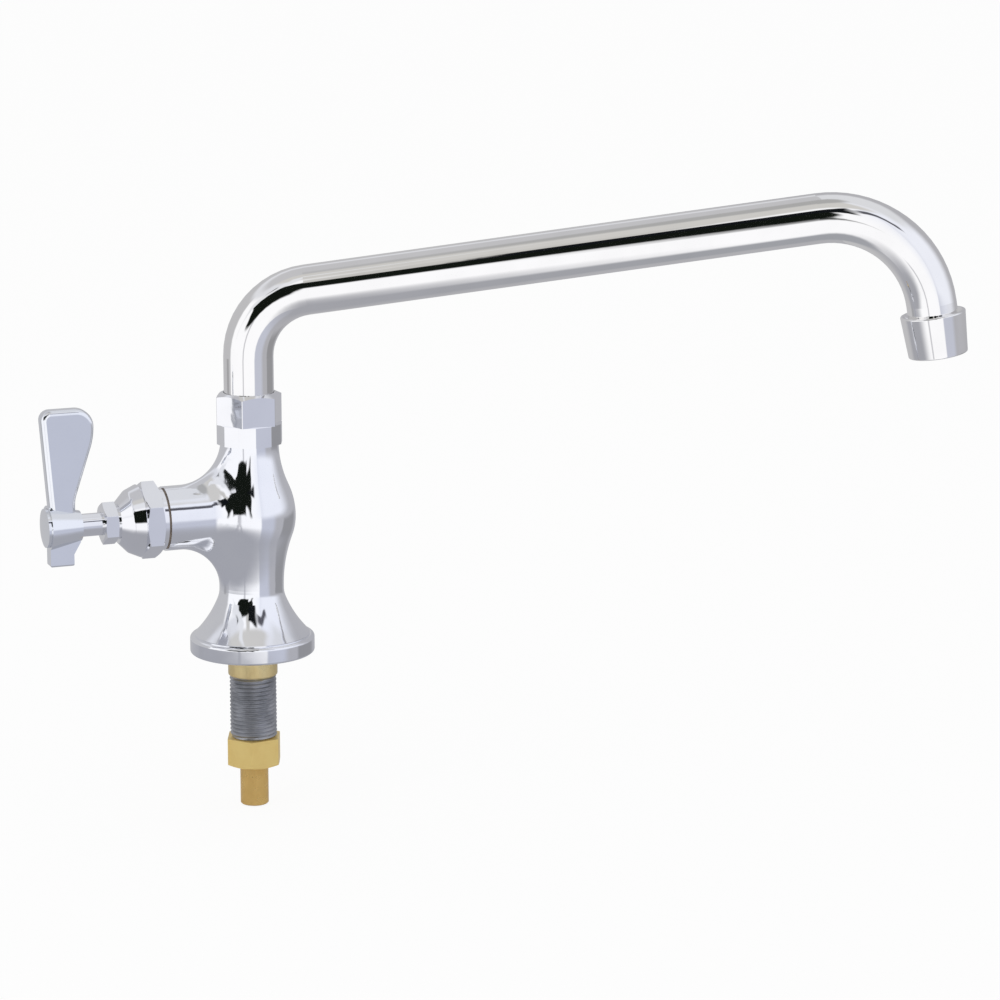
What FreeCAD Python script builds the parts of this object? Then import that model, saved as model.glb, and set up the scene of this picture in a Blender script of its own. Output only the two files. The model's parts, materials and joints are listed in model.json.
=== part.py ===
import FreeCAD, Part
import math
import operator
import os
import Sketcher

Vector = FreeCAD.Vector

# Driving sizes in millimetres, angles in degrees
SIZES = {
    # Cast body: bell flange, waist, bulge and neck
    "rim_radius": 27.9,
    "rim_height": 7.8,
    "rim_rounding": 1.5,
    "rim_foot_rounding": 1.0,
    "flare_foot_radius": 25.8,
    "flare_step": 0.6,
    "flare_curve": 50.0,
    "waist_radius": 14.4,
    "waist_drop": 34.9,
    "waist_straight": 1.5,
    "waist_curve": 12.0,
    "bulge_radius": 20.1,
    "bulge_drop": 1.8,
    "bulge_low_curve": 25.0,
    "bulge_high_curve": 34.0,
    "neck_radius": 12.9,
    "neck_rise": 31.4,
    "stem_height": 63.9,
    "stem_turn": 21.0,
    "branch_radius": 14.3,
    "branch_reach": 40.4,
    "branch_blend": 20.0,
    "recess_depth": 3.0,
    "recess_rim_wall": 2.6,
    "gasket_bore_radius": 12.5,
    "cut_overrun": 1.0,
    # Water ways in the body
    "waterway_radius": 5.5,
    "bulkhead_gap": 1.8,
    "seat_face": 15.0,
    "chamber_floor": 14.0,
    "port_half_width": 4.2,
    "port_floor_rise": 12.0,
    # Inlet pieces below the deck
    "pipe_thread_radius": 8.33,
    "thread_clearance": 0.05,
    "collar_radius": 11.1,
    "collar_drop": 11.0,
    "collar_rounding": 0.8,
    "thread_engagement": 11.0,
    "thread_end_gap": 0.5,
    "shank_radius": 10.5,
    "shank_drop": 39.8,
    "shank_chamfer": 0.8,
    "inlet_hex_flats": 22.8,
    "inlet_hex_height": 13.2,
    "inlet_hex_chamfer": 1.6,
    "inlet_hex_turn": 90.0,
    "chamfer_width_share": 1.7,
    "corner_rounding": 0.4,
    "seal_thickness": 1.0,
    "seal_wall": 1.3,
    "tail_radius": 6.35,
    "tail_wall": 0.9,
    "tail_drop": 71.3,
    "tail_socket": 7.0,
    "tail_neck_radius": 6.0,
    "tail_neck_drop": 0.3,
    "tail_chamfer": 0.5,
    # Valve: seat, bonnet, packing
    "seat_thread_radius": 6.0,
    "seat_bore_radius": 4.2,
    "seat_length": 6.5,
    "seat_crown": 1.0,
    "seat_crown_width": 0.7,
    "bonnet_spigot_radius": 10.5,
    "bonnet_spigot_start": 27.0,
    "bonnet_gasket": 0.9,
    "bonnet_gasket_radius": 13.5,
    "bonnet_shoulder": 1.4,
    "bonnet_shoulder_radius": 13.9,
    "bonnet_hex_flats": 30.4,
    "bonnet_hex_length": 9.4,
    "bonnet_hex_chamfer": 2.4,
    "bonnet_hex_turn": 30.0,
    "dome_base_radius": 16.1,
    "dome_mid_radius": 13.9,
    "dome_mid_share": 0.52,
    "dome_tip_radius": 9.2,
    "dome_length": 9.5,
    "dome_rounding": 3.0,
    "stuffing_radius": 6.3,
    "stuffing_start": 55.0,
    "gland_thread_radius": 7.1,
    "gland_thread_length": 5.0,
    "packing_length": 5.5,
    "packing_washer_thickness": 1.0,
    "packing_nut_gap": 0.9,
    "packing_nut_flats": 16.6,
    "packing_nut_length": 6.2,
    "packing_nut_chamfer": 1.0,
    "packing_nut_turn": 30.0,
    # Stem and washer
    "stem_radius": 5.05,
    "stem_thread_radius": 6.0,
    "stem_thread_end": 40.0,
    "stem_bore_step": 46.0,
    "stem_end": 87.6,
    "tang_flats": 6.4,
    "tang_turn": 45.0,
    "running_fit": 0.05,
    "stem_lead_in": 0.6,
    "washer_gap": 0.15,
    "washer_radius": 5.6,
    "washer_thickness": 2.8,
    "washer_lip": 1.6,
    "holder_radius": 6.5,
    "holder_back": 2.4,
    "holder_pin_radius": 2.5,
    "holder_pin_length": 10.5,
    "holder_gap": 0.2,
    "washer_screw_head_radius": 2.9,
    "washer_screw_head": 1.5,
    "washer_screw_radius": 1.55,
    "washer_screw_length": 8.0,
    # Lever
    "hub_start": 78.3,
    "hub_end": 92.7,
    "hub_start_radius": 6.7,
    "hub_end_radius": 9.9,
    "hub_socket_start": 81.5,
    "hub_web": 1.4,
    "blade_thickness": 7.6,
    "blade_rounding": 2.2,
    "blade_height": 52.5,
    "blade_root_inner": 80.7,
    "blade_root_outer": 91.6,
    "blade_root_height": 12.0,
    "blade_tip_inner": 71.6,
    "blade_tip_outer": 95.6,
    "blade_flare_height": 39.5,
    "blade_root_curve": 15.0,
    "blade_flare_curve": 30.0,
    "blade_inner_corner": 8.0,
    "blade_outer_corner": 4.5,
    "tab_inner": 81.9,
    "tab_outer": 92.5,
    "tab_drop": 17.2,
    "tab_web_drop": 12.0,
    "tab_web_reach": 0.5,
    "tab_thickness": 6.6,
    "tab_rounding": 0.8,
    "cap_radius": 8.6,
    "cap_rise": 2.0,
    "cap_depth": 1.5,
    "cap_edge": 1.4,
    "handle_screw_radius": 1.95,
    "handle_screw_length": 12.0,
    "handle_screw_head_radius": 3.5,
    "handle_screw_head": 1.9,
    "screw_slot": 0.9,
    # Swivel: collar, nut, sleeve, rings
    "swivel_collar_flats": 28.5,
    "swivel_collar_height": 9.0,
    "swivel_collar_turn": 15.0,
    "collar_spigot_radius": 9.5,
    "collar_spigot_length": 9.0,
    "nut_thread_radius": 12.0,
    "nut_thread_length": 8.6,
    "sleeve_radius": 7.5,
    "sleeve_bore_radius": 4.6,
    "sleeve_depth": 7.1,
    "sleeve_lead_in": 0.6,
    "groove_width": 2.0,
    "groove_depth": 1.65,
    "groove_rise": 4.5,
    "groove_pitch": 6.0,
    "ring_radius": 0.84,
    "shoulder_radius": 11.9,
    "shoulder_thickness": 1.6,
    "slip_ring_thickness": 0.9,
    "slip_ring_radius": 11.7,
    "spout_nut_flats": 26.4,
    "spout_nut_height": 14.0,
    "spout_nut_turn": 22.3,
    "lip_gap": 0.25,
    "spout_nut_chamfer": 2.2,
    "nut_hole_clearance": 0.2,
    # Spout tube
    "tube_radius": 11.11,
    "tube_wall": 1.0,
    "tube_spigot": 9.0,
    "adapter_clearance": 0.03,
    "spout_reach": 304.8,
    "outlet_height": 135.1,
    "arch_rise": 25.2,
    "run_rise": 8.0,
    "outlet_tilt": 9.0,
    "riser_bend": 30.0,
    "outlet_bend": 45.0,
    # Aerator, measured along the outlet axis from its bottom face
    "aerator_top_radius": 14.5,
    "aerator_bottom_radius": 13.1,
    "aerator_length": 18.8,
    "aerator_rounding": 0.6,
    "aerator_thread_radius": 11.9,
    "aerator_lip": 1.5,
    "aerator_mouth_radius": 9.6,
    "aerator_seat_radius": 10.9,
    "aerator_seat_end": 6.0,
    "aerator_gap_radius": 13.0,
    "aerator_gap_depth": 2.2,
    "tube_end_height": 8.0,
    "insert_clearance": 0.1,
    "insert_hole_radius": 0.9,
    "insert_ring_inner": 3.6,
    "insert_ring_outer": 7.6,
    "screen_thickness": 0.5,
    "screen_hole_radius": 0.7,
    "screen_ring_inner": 3.0,
    "screen_ring_middle": 6.0,
    "screen_ring_outer": 9.0,
    "aerator_washer_bore": 8.6,
}

# Sides of the prisms and holes in the aerator's rings
HEX_SIDE_COUNT = 6
COLLAR_SIDE_COUNT = 12
TANG_SIDE_COUNT = 4
INNER_HOLE_COUNT = 6
MIDDLE_HOLE_COUNT = 12
OUTER_HOLE_COUNT = 18

OPERATORS = {"+": operator.add, "-": operator.sub, "*": operator.mul, "/": operator.truediv}

doc = FreeCAD.newDocument("PantryFaucet")
sheet = doc.addObject("Spreadsheet::Sheet", "Sizes")
for row, (alias, value) in enumerate(SIZES.items(), start=1):
    sheet.set(f"A{row}", alias)
    sheet.set(f"B{row}", str(value))
    sheet.setAlias(f"B{row}", alias)
doc.recompute()


class Size:
    """A number together with the sheet expression that gives it."""

    def __init__(self, value, text):
        self.value = float(value)
        self.text = text

    def combine(self, other, sign, flipped=False):
        other = other if isinstance(other, Size) else Size(other, repr(other))
        left, right = (other, self) if flipped else (self, other)
        result = OPERATORS[sign](left.value, right.value)
        return Size(result, f"({left.text} {sign} {right.text})")

    def __add__(self, other):
        return self.combine(other, "+")

    def __radd__(self, other):
        return self.combine(other, "+", True)

    def __sub__(self, other):
        return self.combine(other, "-")

    def __rsub__(self, other):
        return self.combine(other, "-", True)

    def __mul__(self, other):
        return self.combine(other, "*")

    def __rmul__(self, other):
        return self.combine(other, "*", True)

    def __truediv__(self, other):
        return self.combine(other, "/")

    def __neg__(self):
        return Size(-self.value, f"(0 - {self.text})")


class Sheet:
    """Sizes by name, such as at.rim_radius."""

    def __getattr__(self, alias):
        return Size(SIZES[alias], f"Sizes.{alias}")


at = Sheet()
ZERO = Size(0, "0")
pieces = []


def new_piece(label):
    body = doc.addObject("PartDesign::Body", label)
    body.Label = label
    pieces.append(body)
    return body


def plane_of(body, role):
    return next(f for f in body.Origin.OriginFeatures if f.Role == role)


def new_sketch(body, role="XZ_Plane", offset=None):
    sketch = body.newObject("Sketcher::SketchObject", "Sketch")
    sketch.AttachmentSupport = [(plane_of(body, role), "")]
    sketch.MapMode = "FlatFace"
    if offset is not None:
        sketch.AttachmentOffset = FreeCAD.Placement(Vector(0, 0, offset.value), FreeCAD.Rotation())
        sketch.setExpression("AttachmentOffset.Base.z", offset.text)
    return sketch


def bind(sketch, rule, size):
    """Adds a constraint whose value follows a size."""
    index = sketch.addConstraint(rule)
    sketch.setExpression(f"Constraints[{index}]", size.text)


def place(sketch, kind, geometry, vertex, size):
    """Dimensions a point from the origin, or puts it on the axis where the size is ZERO."""
    if size is ZERO:
        axis = -2 if kind == "DistanceX" else -1
        sketch.addConstraint(Sketcher.Constraint("PointOnObject", geometry, vertex, axis))
    else:
        bind(sketch, Sketcher.Constraint(kind, -1, 1, geometry, vertex, size.value), size)


class Outline:
    """Lines and arcs drawn one after another; a point given as sizes is dimensioned."""

    def __init__(self, sketch, start):
        self.sketch = sketch
        self.here = start
        self.first = start
        self.last = None
        self.opening = None
        self.mark(start)

    def mark(self, point):
        self.flat = [p.value if isinstance(p, Size) else float(p) for p in point]

    def fix(self, geometry, vertex, point):
        for kind, value in zip(("DistanceX", "DistanceY"), point):
            if isinstance(value, Size):
                place(self.sketch, kind, geometry, vertex, value)

    def join(self, geometry, vertex, smooth):
        if self.last is None:
            self.opening = (geometry, vertex)
            self.fix(geometry, vertex, self.first)
            return
        kind = "Tangent" if smooth else "Coincident"
        self.sketch.addConstraint(Sketcher.Constraint(kind, *self.last, geometry, vertex))

    def line(self, point, smooth=False):
        start = Vector(self.flat[0], self.flat[1], 0)
        self.mark(point)
        end = Vector(self.flat[0], self.flat[1], 0)
        geometry = self.sketch.addGeometry(Part.LineSegment(start, end))
        self.join(geometry, 1, smooth)
        self.fix(geometry, 2, point)
        self.last = (geometry, 2)
        return geometry

    def arc(self, centre, point, clockwise=False, smooth=True, radius=None, level=None):
        """Arc round a centre given as numbers; level makes the centre level with its start or end."""
        start = list(self.flat)
        self.mark(point)
        size = math.hypot(start[0] - centre[0], start[1] - centre[1])
        turns = [math.atan2(p[1] - centre[1], p[0] - centre[0]) for p in (start, self.flat)]
        first, second = (turns[1], turns[0]) if clockwise else turns
        if second < first:
            second += 2 * math.pi
        circle = Part.Circle(Vector(centre[0], centre[1], 0), Vector(0, 0, 1), size)
        geometry = self.sketch.addGeometry(Part.ArcOfCircle(circle, first, second))
        begin, end = (2, 1) if clockwise else (1, 2)
        self.join(geometry, begin, smooth)
        self.fix(geometry, end, point)
        if radius is not None:
            bind(self.sketch, Sketcher.Constraint("Radius", geometry, radius.value), radius)
        if level is not None:
            vertex = begin if level == "start" else end
            self.sketch.addConstraint(Sketcher.Constraint("Horizontal", geometry, 3, geometry, vertex))
        self.last = (geometry, end)
        return geometry

    def close(self):
        start = Vector(self.flat[0], self.flat[1], 0)
        end = Vector(self.first[0].value, self.first[1].value, 0)
        geometry = self.sketch.addGeometry(Part.LineSegment(start, end))
        self.sketch.addConstraint(Sketcher.Constraint("Coincident", *self.last, geometry, 1))
        self.sketch.addConstraint(Sketcher.Constraint("Coincident", geometry, 2, *self.opening))


def polygon(sketch, points):
    """Closed polygon whose corners are all dimensioned from the origin."""
    corners = [Vector(p[0].value, p[1].value, 0) for p in points]
    count = len(corners)
    lines = [Part.LineSegment(corners[k], corners[(k + 1) % count]) for k in range(count)]
    first = sketch.addGeometry(lines)[0]
    for k in range(count):
        rule = Sketcher.Constraint("Coincident", first + k, 2, first + (k + 1) % count, 1)
        sketch.addConstraint(rule)
    for k, point in enumerate(points):
        for kind, size in zip(("DistanceX", "DistanceY"), point):
            place(sketch, kind, first + k, 1, size)


def ring(sketch, radius, centre=(ZERO, ZERO)):
    circle = Part.Circle(Vector(centre[0].value, centre[1].value, 0), Vector(0, 0, 1), radius.value)
    geometry = sketch.addGeometry(circle)
    bind(sketch, Sketcher.Constraint("Radius", geometry, radius.value), radius)
    for kind, size in zip(("DistanceX", "DistanceY"), centre):
        place(sketch, kind, geometry, 3, size)


def spin(body, sketch, axis="V_Axis", cut=False):
    feature = body.newObject("PartDesign::Groove" if cut else "PartDesign::Revolution", "Turned")
    feature.Profile = sketch
    feature.ReferenceAxis = (sketch, [axis])
    feature.Angle = 360
    sketch.Visibility = False
    return feature


def turned(body, points, axis="V_Axis", cut=False):
    """Solid (or cut) of revolution of a closed polygon about the upright or the level axis."""
    sketch = new_sketch(body)
    polygon(sketch, points)
    return spin(body, sketch, axis, cut)


def rectangle(low, high):
    """Corners of a rectangle from its low and high corners."""
    return [low, (high[0], low[1]), high, (low[0], high[1])]


def bore(body, start, end, radius, axis="V_Axis", inner=ZERO):
    """Round cut about the piece's own axis, from start to end along it."""
    if axis == "V_Axis":
        points = rectangle((inner, start), (radius, end))
    else:
        points = rectangle((start, inner), (end, radius))
    return turned(body, points, axis, cut=True)


def grown(body, sketch, length, cut=False, middle=False, back=False):
    feature = body.newObject("PartDesign::Pocket" if cut else "PartDesign::Pad", "Grown")
    feature.Profile = sketch
    feature.Length = length.value
    feature.setExpression("Length", length.text)
    if middle:
        feature.SideType = "Symmetric"
    feature.Reversed = back
    return feature


def prism(body, flats, start, length, sides, plane="XY_Plane", turn=ZERO):
    """Regular prism across its flats; turn is the angle of the first corner."""
    sketch = new_sketch(body, plane, start)
    corner = flats / 2 / math.cos(math.pi / sides)
    angles = [math.radians(turn.value) + 2 * math.pi * k / sides for k in range(sides)]
    polygon(sketch, [(corner * round(math.cos(a), 9), corner * round(math.sin(a), 9)) for a in angles])
    return grown(body, sketch, length)


def round_corners(body, base, length):
    """Small rounding on a prism's long edges."""

    def is_long(edge):
        box = edge.BoundBox
        sides = (box.XLength, box.YLength, box.ZLength)
        return abs(max(sides) - length.value) < 1e-3 and sum(sides) - max(sides) < 1e-3

    return dress(body, "Fillet", base, is_long, at.corner_rounding)


def trim_corners(body, flats, face, depth, sides, axis="V_Axis"):
    """Turned chamfer on a prism's corners: depth is signed and points into the prism."""
    corner = flats / 2 / math.cos(math.pi / sides)
    width = (corner - flats / 2) * at.chamfer_width_share
    outside = corner + at.cut_overrun
    past = face - at.cut_overrun if depth.value > 0 else face + at.cut_overrun
    points = [(corner - width, face), (outside, face + depth), (outside, past), (corner - width, past)]
    if axis == "H_Axis":
        points = [(p[1], p[0]) for p in points]
    return turned(body, points, axis, cut=True)


def named_edges(feature, wanted):
    return [f"Edge{k}" for k, e in enumerate(feature.Shape.Edges, start=1) if wanted(e)]


def dress(body, kind, base, wanted, size):
    """Fillet or chamfer on the edges of base that wanted accepts."""
    doc.recompute()
    names = named_edges(base, wanted)
    feature = body.newObject(f"PartDesign::{kind}", kind)
    feature.Base = (base, names)
    key = "Radius" if kind == "Fillet" else "Size"
    setattr(feature, key, size.value)
    feature.setExpression(key, size.text)
    return feature


def is_circle_at(edge, radius, height, direction="Z"):
    """True for a full circle of that radius whose centre lies at height on the piece's axis."""
    curve = edge.Curve
    if not isinstance(curve, Part.Circle):
        return False
    centre = curve.Center.z if direction == "Z" else curve.Center.x
    return abs(curve.Radius - radius) < 0.01 and abs(centre - height) < 0.01


def turn_to_branch(body, height):
    """Turns a piece drawn with the branch along X to the branch's real direction."""
    body.Placement = FreeCAD.Placement(
        Vector(0, 0, height.value),
        FreeCAD.Rotation(Vector(0, 0, 1), 180 + at.stem_turn.value),
    )
    body.setExpression("Placement.Base.z", height.text)
    body.setExpression("Placement.Rotation.Angle", f"180 + {at.stem_turn.text}")


def on_stem_axis(body):
    """Stem pieces are drawn along X at the height of the origin."""
    turn_to_branch(body, at.stem_height)


def on_outlet_axis(body):
    """Outlet pieces are drawn along Z from the bottom face and tilted to the outlet."""
    body.Placement = FreeCAD.Placement(
        Vector(at.spout_reach.value, 0, at.outlet_height.value),
        FreeCAD.Rotation(Vector(0, 1, 0), -at.outlet_tilt.value),
    )
    body.setExpression("Placement.Base.x", at.spout_reach.text)
    body.setExpression("Placement.Base.z", at.outlet_height.text)
    body.setExpression("Placement.Rotation.Angle", f"0 - {at.outlet_tilt.text}")


# Places that several pieces share
body_top = at.stem_height + at.neck_rise
bulge_height = at.stem_height - at.bulge_drop
waist_bottom = at.stem_height - at.waist_drop
waist_top = waist_bottom + at.waist_straight
collar_top = body_top + at.swivel_collar_height
nut_top = collar_top + at.spout_nut_height
thread_top = collar_top + at.nut_thread_length
shoulder_bottom = thread_top + at.slip_ring_thickness + at.running_fit
shoulder_top = shoulder_bottom + at.shoulder_thickness
bonnet_face = at.branch_reach + at.bonnet_gasket
hex_start = bonnet_face + at.bonnet_shoulder
hex_end = hex_start + at.bonnet_hex_length
dome_end = hex_end + at.dome_length
gland_end = dome_end + at.gland_thread_length
packing_nut_start = dome_end + at.packing_nut_gap
packing_nut_end = packing_nut_start + at.packing_nut_length
packing_end = at.stuffing_start + at.packing_length
seat_start = at.seat_face - at.seat_crown - at.seat_length
washer_face = at.seat_face + at.washer_gap
washer_back = washer_face + at.washer_thickness
holder_end = washer_back + at.holder_back
stem_start = holder_end + at.holder_gap
shank_bore = at.pipe_thread_radius + at.thread_clearance
inlet_hex_bottom = at.shank_drop + at.inlet_hex_height
collar_bore = at.sleeve_radius + at.running_fit
sleeve_bottom = body_top - at.sleeve_depth
groove_low = sleeve_bottom + at.groove_rise
groove_high = groove_low + at.groove_pitch
riser_corner = at.outlet_height + at.arch_rise
nut_thread_bore = at.nut_thread_radius + at.thread_clearance


def circles_meet(first, first_radius, second, second_radius):
    """The crossing of two circles that lies to the right of the way from first to second."""
    gap = [second[k] - first[k] for k in (0, 1)]
    apart = math.hypot(*gap)
    along = (first_radius**2 - second_radius**2 + apart**2) / (2 * apart)
    aside = math.sqrt(first_radius**2 - along**2)
    unit = [g / apart for g in gap]
    return (first[0] + along * unit[0] + aside * unit[1], first[1] + along * unit[1] - aside * unit[0])


def toward(start, end, distance):
    apart = math.hypot(end[0] - start[0], end[1] - start[1])
    return tuple(start[k] + (end[k] - start[k]) * distance / apart for k in (0, 1))


def blending_radius(near, centre, radius, height):
    """Radius of an arc level with height at radius near, tangent to a circle round centre."""
    aside = near - centre[0]
    apart = height - centre[1]
    return (aside**2 + apart**2 - radius**2) / (2 * (radius - aside))


def make_faucet_body():
    body = new_piece("faucet_body")
    value = SIZES
    foot = (value["flare_foot_radius"], value["rim_height"] + value["flare_step"])
    waist_centre = (value["waist_radius"] + value["waist_curve"], waist_bottom.value)
    flare_centre = circles_meet(
        foot, value["flare_curve"], waist_centre, value["flare_curve"] - value["waist_curve"]
    )
    flare_top = toward(flare_centre, waist_centre, value["flare_curve"])
    low_centre = (value["bulge_radius"] - value["bulge_low_curve"], bulge_height.value)
    rise = blending_radius(
        value["waist_radius"], low_centre, value["bulge_low_curve"], waist_top.value
    )
    rise_centre = (value["waist_radius"] + rise, waist_top.value)
    rise_top = toward(low_centre, rise_centre, value["bulge_low_curve"])
    high_centre = (value["bulge_radius"] - value["bulge_high_curve"], bulge_height.value)
    fall = blending_radius(
        value["neck_radius"], high_centre, value["bulge_high_curve"], body_top.value
    )
    fall_centre = (value["neck_radius"] + fall, body_top.value)
    fall_start = toward(high_centre, fall_centre, value["bulge_high_curve"])
    # The neck is drawn longer, so that the blend can run out on it, and is then cut level
    spare_top = body_top + at.branch_blend
    sketch = new_sketch(body)
    outline = Outline(sketch, (ZERO, ZERO))
    outline.line((at.rim_radius, ZERO))
    outline.line((at.rim_radius, at.rim_height))
    outline.line((at.flare_foot_radius, at.rim_height))
    outline.line((at.flare_foot_radius, at.rim_height + at.flare_step))
    outline.arc(flare_centre, flare_top, clockwise=True, smooth=False, radius=at.flare_curve)
    outline.arc(
        waist_centre, (at.waist_radius, waist_bottom), clockwise=True, radius=at.waist_curve
    )
    outline.line((at.waist_radius, waist_top), smooth=True)
    outline.arc(rise_centre, rise_top, clockwise=True)
    outline.arc(
        low_centre, (at.bulge_radius, bulge_height), radius=at.bulge_low_curve, level="end"
    )
    outline.arc(high_centre, fall_start, radius=at.bulge_high_curve)
    outline.arc(fall_centre, (at.neck_radius, body_top), clockwise=True)
    outline.line((at.neck_radius, spare_top), smooth=True)
    outline.line((ZERO, spare_top))
    outline.close()
    spin(body, sketch)
    branch = new_sketch(body, "YZ_Plane")
    ring(branch, at.branch_radius, (ZERO, at.stem_height))
    joined = grown(body, branch, at.branch_reach)

    def is_seam(edge):
        middle = edge.valueAt((edge.FirstParameter + edge.LastParameter) / 2)
        height = middle.z - at.stem_height.value
        return (
            abs(math.hypot(middle.y, height) - at.branch_radius.value) < 1e-3
            and middle.x < at.branch_reach.value - at.cut_overrun.value
            and edge.BoundBox.YLength > 1e-3
        )

    dress(body, "Fillet", joined, is_seam, at.branch_blend)
    top = new_sketch(body, "XY_Plane", body_top)
    ring(top, at.branch_reach)
    trimmed = grown(body, top, at.branch_blend * 2, cut=True, back=True)
    rimmed = dress(
        body,
        "Fillet",
        trimmed,
        lambda e: is_circle_at(e, at.rim_radius.value, at.rim_height.value),
        at.rim_rounding,
    )
    dress(
        body,
        "Fillet",
        rimmed,
        lambda e: is_circle_at(e, at.rim_radius.value, 0),
        at.rim_foot_rounding,
    )
    # Recess under the flange, water way, sockets and valve chamber
    turned(
        body,
        rectangle((ZERO, ZERO), (at.rim_radius - at.recess_rim_wall, at.recess_depth)),
        cut=True,
    )
    bore(body, at.recess_depth, at.recess_depth + at.thread_engagement, shank_bore)
    water_top = at.stem_height + at.seat_bore_radius + at.bulkhead_gap
    bore(body, at.recess_depth, water_top, at.waterway_radius)
    spigot_bottom = body_top - at.collar_spigot_length
    bore(body, spigot_bottom, body_top, at.collar_spigot_radius + at.thread_clearance)
    port_floor = at.stem_height + at.port_floor_rise
    valve = [
        (ZERO, ZERO),
        (at.branch_reach, ZERO),
        (at.branch_reach, at.bonnet_spigot_radius + at.thread_clearance),
        (at.chamber_floor, at.bonnet_spigot_radius + at.thread_clearance),
        (at.chamber_floor, at.seat_thread_radius + at.thread_clearance),
        (seat_start, at.seat_thread_radius + at.thread_clearance),
        (seat_start, at.seat_bore_radius),
        (ZERO, at.seat_bore_radius),
    ]
    sketch = new_sketch(body)
    ends = [Vector(x, at.stem_height.value, 0) for x in (0, at.branch_reach.value)]
    axle = sketch.addGeometry(Part.LineSegment(*ends), True)
    sketch.addConstraint(Sketcher.Constraint("Horizontal", axle))
    sketch.addConstraint(Sketcher.Constraint("PointOnObject", axle, 1, -2))
    bind(sketch, Sketcher.Constraint("DistanceY", -1, 1, axle, 1, at.stem_height.value), at.stem_height)
    bind(sketch, Sketcher.Constraint("DistanceX", -1, 1, axle, 2, at.branch_reach.value), at.branch_reach)
    polygon(sketch, [(p[0], at.stem_height + p[1]) for p in valve])
    spin(body, sketch, "Axis0", cut=True)
    # Port from the chamber up to the spout socket
    sketch = new_sketch(body)
    corner = at.chamber_floor + at.port_half_width * 2
    polygon(
        sketch,
        [
            (at.chamber_floor, at.stem_height + at.seat_thread_radius),
            (corner, at.stem_height + at.seat_thread_radius),
            (corner, at.stem_height + at.bonnet_spigot_radius),
            (at.waterway_radius, spigot_bottom + at.cut_overrun),
            (-at.waterway_radius, spigot_bottom + at.cut_overrun),
            (-at.waterway_radius, port_floor),
        ],
    )
    grown(body, sketch, at.port_half_width * 2, cut=True, middle=True)
    turn_to_branch(body, ZERO)


def make_base_gasket():
    body = new_piece("base_gasket")
    outside = at.rim_radius - at.recess_rim_wall - at.thread_clearance
    turned(body, rectangle((at.gasket_bore_radius, ZERO), (outside, at.recess_depth)))


def make_shank_adapter():
    body = new_piece("shank_adapter")
    spigot_top = at.recess_depth + at.thread_engagement - at.thread_end_gap
    spigot_bottom = -(at.collar_drop + at.thread_engagement)
    points = [
        (at.waterway_radius, spigot_top),
        (at.pipe_thread_radius, spigot_top),
        (at.pipe_thread_radius, at.recess_depth),
        (at.collar_radius, at.recess_depth),
        (at.collar_radius, -at.collar_drop),
        (at.pipe_thread_radius, -at.collar_drop),
        (at.pipe_thread_radius, spigot_bottom),
        (at.waterway_radius, spigot_bottom),
    ]
    lathe = turned(body, points)
    dress(
        body,
        "Fillet",
        lathe,
        lambda e: is_circle_at(e, at.collar_radius.value, -at.collar_drop.value),
        at.collar_rounding,
    )


def make_threaded_shank():
    body = new_piece("threaded_shank")
    lathe = turned(
        body, rectangle((shank_bore, -at.shank_drop), (at.shank_radius, -at.collar_drop))
    )
    dress(
        body,
        "Chamfer",
        lathe,
        lambda e: is_circle_at(e, at.shank_radius.value, e.BoundBox.ZMax),
        at.shank_chamfer,
    )


def make_inlet_hex():
    body = new_piece("inlet_hex")
    hexagon = prism(
        body,
        at.inlet_hex_flats,
        -inlet_hex_bottom,
        at.inlet_hex_height,
        HEX_SIDE_COUNT,
        turn=at.inlet_hex_turn,
    )
    round_corners(body, hexagon, at.inlet_hex_height)
    trim_corners(body, at.inlet_hex_flats, -inlet_hex_bottom, at.inlet_hex_chamfer, HEX_SIDE_COUNT)
    spigot_top = at.thread_engagement - at.shank_drop
    spigot_root = -at.shank_drop - at.cut_overrun
    turned(body, rectangle((ZERO, spigot_root), (at.pipe_thread_radius, spigot_top)))
    bore(body, -inlet_hex_bottom, spigot_top, at.waterway_radius)
    socket_top = at.tail_socket - inlet_hex_bottom
    bore(body, -inlet_hex_bottom, socket_top, at.tail_neck_radius + at.thread_clearance)
    outside = at.pipe_thread_radius + at.seal_wall
    bore(body, -at.shank_drop - at.seal_thickness, -at.shank_drop, outside, inner=at.pipe_thread_radius)


def make_inlet_seal():
    body = new_piece("inlet_seal")
    inside = at.pipe_thread_radius + at.thread_clearance
    outside = at.pipe_thread_radius + at.seal_wall - at.thread_clearance
    turned(body, rectangle((inside, -at.shank_drop - at.seal_thickness), (outside, -at.shank_drop)))


def make_tailpiece():
    body = new_piece("tailpiece")
    inside = at.tail_radius - at.tail_wall
    top = at.tail_socket - inlet_hex_bottom
    neck_bottom = -inlet_hex_bottom - at.tail_neck_drop
    points = [
        (inside, -at.tail_drop),
        (at.tail_radius, -at.tail_drop),
        (at.tail_radius, neck_bottom),
        (at.tail_neck_radius, neck_bottom),
        (at.tail_neck_radius, top),
        (inside, top),
    ]
    lathe = turned(body, points)
    dress(
        body,
        "Chamfer",
        lathe,
        lambda e: is_circle_at(e, at.tail_radius.value, -at.tail_drop.value),
        at.tail_chamfer,
    )


def make_valve_seat():
    body = new_piece("valve_seat")
    floor = at.seat_face - at.seat_crown
    crown = at.seat_bore_radius + at.seat_crown_width
    points = [
        (seat_start, at.seat_bore_radius),
        (at.seat_face, at.seat_bore_radius),
        (at.seat_face, crown),
        (floor, crown + at.seat_crown / 2),
        (floor, at.seat_thread_radius),
        (seat_start, at.seat_thread_radius),
    ]
    turned(body, points, "H_Axis")
    on_stem_axis(body)


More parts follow.
